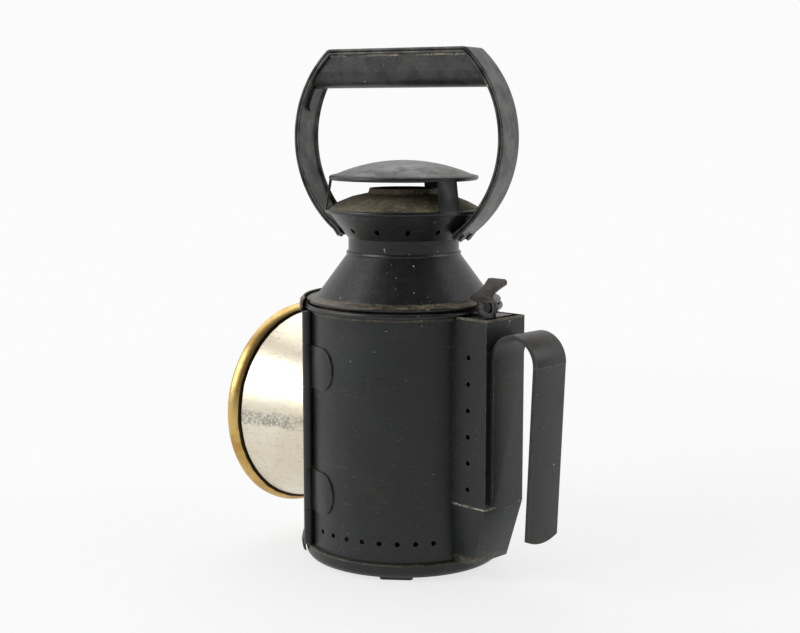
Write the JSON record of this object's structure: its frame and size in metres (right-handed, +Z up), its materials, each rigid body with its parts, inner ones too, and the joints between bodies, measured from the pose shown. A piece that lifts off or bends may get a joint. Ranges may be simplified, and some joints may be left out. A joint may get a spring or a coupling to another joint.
{
  "type": "signal hand lamp",
  "caption": "Oil hand lamp with a drum-shaped case, hooded bullseye lens door, turning top with a loop handle, rear air box and belt hook.",
  "frame": {"origin": "on the axis of the round case, in the plane the feet stand on", "axes": "+Z up along the case axis; the lens faces -Y and the belt hook hangs at +Y"},
  "size_m": [0.1272, 0.2108, 0.2994],
  "materials": {
    "black_paint": "satin black paint over sheet steel, dusty in the seams",
    "worn_black": "black paint worn to dull steel at the edges",
    "sooty_black": "black paint under brown soot and dust",
    "rusty_steel": "dark steel with rust on the thumb pad",
    "bare_steel": "dull bare steel",
    "tinned_steel": "tinned sheet, warm and finely scratched",
    "brass": "aged brass, brighter on the raised line",
    "clear_glass": "clear pressed glass",
    "red_glass": "ruby glass",
    "green_glass": "green glass",
    "wick_cotton": "woven cotton wick"
  },
  "bodies": {
    "case": {"case_wall": "black_paint", "base_pan": "black_paint", "feet": "black_paint", "top_ring": "black_paint", "hinge_leaves": "worn_black", "hinge_pin": "bare_steel", "rear_box": "black_paint", "chute": "black_paint", "belt_hook": "worn_black", "catch_bridge": "worn_black", "catch_screw": "bare_steel", "catch_spring": "bare_steel", "button_pivot": "bare_steel", "font_seat": "bare_steel", "oil_font": "tinned_steel", "burner_body": "brass", "burner_dome": "brass", "wick_tube": "brass", "reflector": "tinned_steel", "reflector_bracket": "bare_steel"},
    "door": {"door_panel": "black_paint", "lens_hood": "tinned_steel", "brass_rim": "brass", "lens": "clear_glass", "lens_ring": "bare_steel", "door_pull": "bare_steel"},
    "top": {"shoulder_cone": "black_paint", "neck_band": "black_paint", "collar": "black_paint", "chimney": "sooty_black", "cap": "black_paint", "cap_straps": "black_paint", "handle_strap": "black_paint", "handle_grip": "black_paint", "handle_rivets": "worn_black", "drum_frame": "sooty_black", "red_glass": "red_glass", "green_glass": "green_glass"},
    "catch": {"catch_lever": "rusty_steel"},
    "button": {"turn_button": "worn_black"},
    "wick_strip": {"wick": "wick_cotton"},
    "winder": {"wick_winder": "brass"},
    "filler": {"filler_cap": "brass"}
  },
  "joints": [
    {"name": "door_hinge", "type": "hinge", "parent": "case", "child": "door", "pos_m": [0.05092, -0.02881, 0.08], "axis": [0, 0, 1], "range_deg": [0, 100]},
    {"name": "top_turn", "type": "hinge", "parent": "case", "child": "top", "pos_m": [0, 0, 0.153], "axis": [0, 0, 1], "continuous": true},
    {"name": "catch_press", "type": "hinge", "parent": "case", "child": "catch", "pos_m": [0, 0.0678, 0.1555], "axis": [1, 0, 0], "range_deg": [-12, 0], "stiffness_Nm_per_rad": 0.15, "springref_deg": 17.19, "deforming": ["catch_spring"]},
    {"name": "button_turn", "type": "hinge", "parent": "case", "child": "button", "pos_m": [-0.05461, -0.02097, 0.0806], "axis": [-0.9336, -0.3584, 0], "range_deg": [0, 90]},
    {"name": "winder_turn", "type": "hinge", "parent": "case", "child": "winder", "pos_m": [0, 0.0037, 0.047], "axis": [1, 0, 0], "range_deg": [-360, 180]},
    {"name": "wick_slide", "type": "slide", "parent": "case", "child": "wick_strip", "axis": [0, 0, 1], "range_m": [-0.00785, 0.0157]},
    {"name": "filler_turn", "type": "hinge", "parent": "case", "child": "filler", "pos_m": [-0.02006, -0.01205, 0.042], "axis": [0, 0, 1], "continuous": true}
  ],
  "couplings": [
    {"joint": "winder_turn", "follows": "wick_slide", "rad_per_m": -400}
  ]
}
